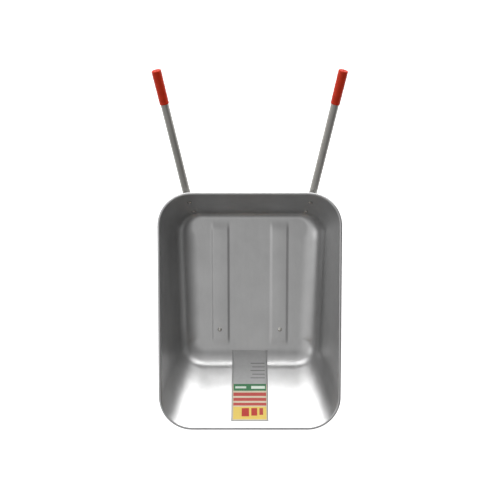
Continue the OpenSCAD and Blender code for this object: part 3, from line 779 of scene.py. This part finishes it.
def revolve(name, profile, centre, axis, start, material, node, hand):
    """Turns (radius, distance along the axis) points about an axis; poles close the ends."""
    sides = GRIP_SIDES
    axis, start = unit(axis), unit(start)
    other = np.cross(axis, start)
    t = np.linspace(0, 2 * math.pi, sides, endpoint=False)
    points = [centre + axis * profile[0][1]]
    for r, s in profile[1:-1]:
        points += list(centre + axis * s + np.outer(r * np.cos(t), start)
                       + np.outer(r * np.sin(t), other))
    points.append(centre + axis * profile[-1][1])
    rings = len(profile) - 2
    faces = grid_faces(rings, sides, close_cols=True, start=1)
    last = len(points) - 1
    for j in range(sides):
        k = (j + 1) % sides
        faces.append((0, 1 + k, 1 + j))
        faces.append((last, last - sides + j, last - sides + k))
    points = np.array(points) * (hand, 1, 1)
    piece = face_out(add_mesh(name, points, faces, material, "frame", node))
    sharpen(piece, angle=40)
    return piece


def grip_profile():
    """A sleeve from its bore, round its mouth and along its outside to the vent in its closed end."""
    bore, body = TUBE_R + 0.0002, GRIP_R - 0.0007
    bore_end = GRIP_L - 0.005
    profile = [(0, bore_end), (bore, bore_end), (bore, 0.0006)]

    # The rounded mouth and the collar behind it
    lip = 0.002
    for a in np.linspace(0, math.pi / 2, 6):
        profile.append((body - 0.0012 + 0.0016 * math.sin(a), lip - lip * math.cos(a)))
    profile += [(body + 0.0004, 0.0045), (body + 0.0002, 0.0058), (body - 0.0002, 0.0068)]

    # The hand's length widens towards the end, with three low swells
    widening, swell, swells = 0.0006, 0.00025, 3
    for s in np.linspace(0.02, 0.97, 14):
        profile.append((body + widening * s + swell * math.sin(s * swells * math.pi) ** 2,
                        lerp(0.008, GRIP_L - 0.003, s)))

    # The rounded end, with a shallow dish and a vent in it
    edge = 0.0026
    for a in np.linspace(0, math.pi / 2, 7):
        profile.append((GRIP_R - edge + edge * math.cos(a), GRIP_L - edge + edge * math.sin(a)))
    dish, vent = GRIP_L - 0.0006, GRIP_L - 0.0044
    profile += [(0.0095, GRIP_L), (0.0088, dish), (0.0030, dish), (0.0022, GRIP_L - 0.0010),
                (0.0020, vent), (0, vent)]
    return profile


def build_grip(side, hand):
    mouth = to_world(GRIP_TIP - GRIP_DIR * GRIP_L)
    axis = GRIP_DIR[0] * FORE + GRIP_DIR[1] * UP
    piece = revolve(f"grip_sleeve_{side}", grip_profile(), mouth, axis, SIDE, GRIP,
                    f"grip_{side}", hand)


WELD_R, WELD_STEPS, WELD_PUDDLES = 0.0028, 40, 11
WELD_SIDE, WELD_INSET, WELD_LIFT = 0.0075, 0.020, 0.0022
WELD_SEED = 7


def weld_bead(name, start, end, hand, seed):
    """A rippled bead between two points, a half-buried loft of overlapping puddles."""
    rng = np.random.default_rng(seed)
    along = unit(end - start)
    flat = unit(np.cross(along, UP))
    stations = []
    for s in np.linspace(0, 1, WELD_STEPS):
        puddle = abs(math.sin(s * math.pi * WELD_PUDDLES))
        ripple = 0.82 + 0.18 * puddle + rng.uniform(-0.04, 0.04)
        taper = min(1, 8 * s, 8 * (1 - s)) * 0.75 + 0.25
        r = WELD_R * ripple * taper
        stations.append((lerp(start, end, s), flat, UP, r, r, 1.0))
    piece = loft(name, stations, WELD, None, hand)


def build_foot_welds(side, hand):
    _, feet = leg_places()
    for k, offset in enumerate((-WELD_SIDE, WELD_SIDE)):
        ends = [to_world(foot, LEG_OFFSET + offset) for foot in (feet[1], feet[0])]
        along = unit(ends[1] - ends[0])
        start, end = ends[0] + along * WELD_INSET, ends[1] - along * WELD_INSET
        start[2] = end[2] = plate_top + WELD_LIFT
        weld_bead(f"foot_weld_{side}_{k + 1}", start, end, hand, WELD_SEED + k)


for side, hand in (("right", 1), ("left", -1)):
    build_rail(side, hand)
    build_leg(side, hand)
    build_grip(side, hand)
    build_foot_welds(side, hand)


# ---- Tyre ---------------------------------------------------------------------------------------

TYRE_MID_R = 0.139
TYRE_HALF_W = (wheel_hi.x - wheel_lo.x) / 2
TYRE_HALF_H = WHEEL_R - TYRE_MID_R
TYRE_WALL = 0.007
TREAD_DEPTH = 0.0045
LUGS = 30
# Tread places, as distances from the middle of the tyre
CROWN = (0.0012, 0.0030, 0.006, 0.010, 0.0155, 0.0165, 0.0190, 0.0200, 0.024, 0.0275, 0.031)
MIDDLE_GROOVE = 0.002
SIDE_GROOVE = (0.0160, 0.0195)
LUG_END, LUG_FADE = 0.024, 0.006
# How far a lug runs round the tyre, in radians for each metre across it, and where that stops
LUG_SHEAR, SHEAR_REACH = 2.6, 0.028
# Fine moulded rings on the side walls
RING_START, RING_DEPTH, RING_RATE = 0.034, 0.0006, 26
# Angles up a side wall, in degrees from level with the middle of the section
BEAD_ANGLE, SHOULDER_ANGLE = -55, 36
WALL_STEPS, INNER_STEPS = 22, 30
CROWN_EXTRA = 0.001
# (share of a lug's pitch, whether it is in the groove between two lugs)
LUG_SHARES = ((0.0, 1), (0.13, 1), (0.20, 0), (0.40, 0), (0.60, 0), (0.80, 0), (0.93, 0))


def oval(half_w, half_h, t):
    return np.array([TYRE_MID_R + half_h * math.sin(t), half_w * math.cos(t)])


def tyre_outline():
    """Outer then inner (radius, x) points, and how deep the tread is cut at each."""
    wall = list(np.radians(np.linspace(BEAD_ANGLE, SHOULDER_ANGLE, WALL_STEPS)))
    right = wall + sorted(math.acos(x / TYRE_HALF_W) for x in CROWN)
    outer, cut = [], []
    for t in right + [math.pi - a for a in reversed(right)]:
        p = oval(TYRE_HALF_W, TYRE_HALF_H, t)
        x = abs(p[1])
        if x > RING_START:
            rings = RING_DEPTH * max(0, math.sin(min(t, math.pi - t) * RING_RATE))
            p[1] -= math.copysign(rings, p[1])
        outer.append(p)
        in_groove = x < MIDDLE_GROOVE or SIDE_GROOVE[0] < x < SIDE_GROOVE[1]
        cut.append(1.0 if in_groove else 0.0)
    inner = [oval(TYRE_HALF_W - TYRE_WALL, TYRE_HALF_H - TYRE_WALL - CROWN_EXTRA, t)
             for t in np.radians(np.linspace(180 - BEAD_ANGLE, BEAD_ANGLE, INNER_STEPS))]
    return np.array(outer), np.array(cut), np.array(inner)


def lug_columns():
    """Angles round the tyre, each with 1 in a cross groove and 0 on a lug."""
    pitch = 2 * math.pi / LUGS
    return [((i + s) * pitch, g) for i in range(LUGS) for s, g in LUG_SHARES]


def build_tyre():
    outer, cut, inner = tyre_outline()
    columns = lug_columns()
    ring_size = len(outer) + len(inner)
    points = []
    for angle, groove in columns:
        for (r, x), c in zip(outer, cut):
            reach = abs(x)
            shear = LUG_SHEAR * min(reach, SHEAR_REACH)
            fade = 1 - smooth_step((reach - LUG_END) / LUG_FADE)
            depth = TREAD_DEPTH * max(c, groove * fade)
            a = angle + shear
            points.append((WHEEL_C.x + x, WHEEL_C.y + (r - depth) * math.cos(a),
                           WHEEL_C.z + (r - depth) * math.sin(a)))
        a = angle + LUG_SHEAR * SHEAR_REACH
        points += [(WHEEL_C.x + x, WHEEL_C.y + r * math.cos(a), WHEEL_C.z + r * math.sin(a))
                   for r, x in inner]
    faces = grid_faces(len(columns), ring_size, close_rows=True, close_cols=True)
    piece = face_out(add_mesh("tyre_tread", points, faces, RUBBER, "wheel", "tyre"))
    sharpen(piece, angle=38)


build_tyre()


# ---- CAD nodes that keep their shape ------------------------------------------------------------

FINISH = {
    ZINC: ["floor_bolts", "floor_nuts", "floor_washers", "wall_bolts", "wall_nuts", "leg_bolts",
           "leg_nuts", "brace_bolts", "brace_nuts", "rim_bolts", "rim_nuts", "hub_tube",
           "bearing_spacer", "axle_bolt", "axle_nut", "axle_washers", "axle_spacers", "rim_wire"],
    PLASTIC: ["floor_spacers", "wall_spacers", "valve_cap", "valve_stem", "inner_tube"],
    COAT: ["foot_plate_left", "foot_plate_right", "front_crossbar", "rear_crossbar", "leg_brace"],
    PAINT: ["rim_half_left", "rim_half_right"],
    STEEL: ["bearing_outer_rings", "bearing_inner_rings", "bearing_balls", "bearing_shields"],
    BRASS: ["bearing_cages"],
}
ROUNDED = {"floor_nuts": 0.0005, "wall_nuts": 0.0005, "leg_bolts": 0.0006, "leg_nuts": 0.0006,
           "brace_bolts": 0.0005, "brace_nuts": 0.0005, "rim_bolts": 0.0005, "rim_nuts": 0.0005,
           "axle_bolt": 0.0008, "axle_nut": 0.0008, "foot_plate_left": 0.0006,
           "foot_plate_right": 0.0006, "front_crossbar": 0.0005, "rear_crossbar": 0.0005,
           "leg_brace": 0.0005, "axle_washers": 0.0003}
for material, names in FINISH.items():
    for name in names:
        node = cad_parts[name]
        node.data.materials.clear()
        node.data.materials.append(material)
        sharpen(node)
        if name in ROUNDED:
            bevel(node, ROUNDED[name])


# ---- Stage, light and camera --------------------------------------------------------------------

# Studio light by direction: each entry is (where it starts, where it is full, how bright)
ROOM = (0.95, -0.95, 0.22)
CEILING = (0.2, 0.95, 0.27)
REAR_WALL = (0.15, 0.85, 0.46)
LEFT_PANEL, LEFT_PANEL_LIGHT = (-0.55, -0.1, 0.83), (0.86, 0.99, 0.46)
FRONT_PANEL, FRONT_PANEL_LIGHT = (0, -0.35, 0.93), (0.90, 1.0, 0.36)
WINDOW_WIDTH, WINDOW_SILL, WINDOW_HEAD, WINDOW_LIGHT = (0.58, 0.86), (0.0, 0.12), (0.42, 0.28), 6.6

FLOOR_HALF, FLOOR_DROP = 6.0, 0.0005

# The camera looks almost straight down, from a little behind the tray
LENS, SENSOR = 61.62, 36
CAMERA_X, CAMERA_BACK, CAMERA_ABOVE = 0.0007, 0.2769, 2.7563
CAMERA_PITCH = math.atan2(0.1668, 0.9860)


def build_floor():
    half = FLOOR_HALF
    mesh = bpy.data.meshes.new("studio_floor")
    mesh.from_pydata([(-half, -half, 0), (half, -half, 0), (half, half, 0), (-half, half, 0)], [],
                     [(0, 1, 2, 3)])
    floor = bpy.data.objects.new("studio_floor", mesh)
    bpy.context.scene.collection.objects.link(floor)
    floor.location.z = -FLOOR_DROP
    s = Shader("studio_floor").set(Roughness=0.9, Emission_Strength=0.75)
    s.bsdf.inputs["Base Color"].default_value = (0.9, 0.9, 0.9, 1)
    s.bsdf.inputs["Emission Color"].default_value = (1, 1, 1, 1)
    mesh.materials.append(s.material)


def softbox(name, place, target, size, power):
    data = bpy.data.lights.new(name, "AREA")
    data.shape = "RECTANGLE"
    data.size, data.size_y = size
    data.energy = power
    light = bpy.data.objects.new(name, data)
    light.location = place
    light.rotation_euler = (Vector(target) - Vector(place)).to_track_quat("-Z", "Y").to_euler()
    bpy.context.scene.collection.objects.link(light)


def build_world():
    """White to the camera; to all else a pale ceiling and a low bright window behind the grips."""
    world = bpy.data.worlds.new("studio")
    world.use_nodes = True
    bpy.context.scene.world = world
    nodes, links = world.node_tree.nodes, world.node_tree.links
    direction = nodes.new("ShaderNodeTexCoord").outputs["Generated"]
    split = nodes.new("ShaderNodeSeparateXYZ")
    links.new(direction, split.inputs["Vector"])
    x, y, z = (split.outputs[axis] for axis in "XYZ")

    def ramp(value, low, high, gain=1.0):
        node = nodes.new("ShaderNodeMapRange")
        node.interpolation_type = "SMOOTHSTEP"
        for key, number in (("From Min", low), ("From Max", high), ("To Max", gain)):
            node.inputs[key].default_value = number
        links.new(value, node.inputs["Value"])
        return node.outputs["Result"]

    def near(target):
        node = nodes.new("ShaderNodeVectorMath")
        node.operation = "DOT_PRODUCT"
        node.inputs[1].default_value = unit(target)
        links.new(direction, node.inputs[0])
        return node.outputs["Value"]

    def join(kind, values):
        total = values[0]
        for value in values[1:]:
            node = nodes.new("ShaderNodeMath")
            node.operation = kind
            links.new(total, node.inputs[0])
            links.new(value, node.inputs[1])
            total = node.outputs["Value"]
        return total

    window = join("MULTIPLY", [ramp(y, *WINDOW_WIDTH, WINDOW_LIGHT), ramp(z, *WINDOW_SILL),
                               ramp(z, *WINDOW_HEAD)])
    light = join("ADD", [ramp(x, *ROOM), ramp(z, *CEILING), ramp(y, *REAR_WALL),
                         ramp(near(LEFT_PANEL), *LEFT_PANEL_LIGHT),
                         ramp(near(FRONT_PANEL), *FRONT_PANEL_LIGHT), window])
    ray = nodes.new("ShaderNodeLightPath")
    pick = nodes.new("ShaderNodeMix")
    pick.data_type = "RGBA"
    links.new(ray.outputs["Is Camera Ray"], pick.inputs["Factor"])
    links.new(light, pick.inputs["A"])
    pick.inputs["B"].default_value = (1, 1, 1, 1)
    links.new(pick.outputs["Result"], nodes["Background"].inputs["Color"])


def build_camera():
    data = bpy.data.cameras.new("camera")
    data.sensor_width = SENSOR
    data.lens = LENS
    data.clip_end = 50
    camera = bpy.data.objects.new("camera", data)
    camera.location = (CAMERA_X, REAR_Y + CAMERA_BACK, RIM_Z + CAMERA_ABOVE)
    camera.rotation_euler = (-CAMERA_PITCH, 0, 0)
    bpy.context.scene.collection.objects.link(camera)
    bpy.context.scene.camera = camera


build_floor()
build_world()
softbox("left_fill", place=(-2.6, 0.3, 1.9), target=(0, 0, 0.4), size=(1.2, 1.2), power=8)
build_camera()
bpy.context.scene.view_settings.view_transform = "Standard"
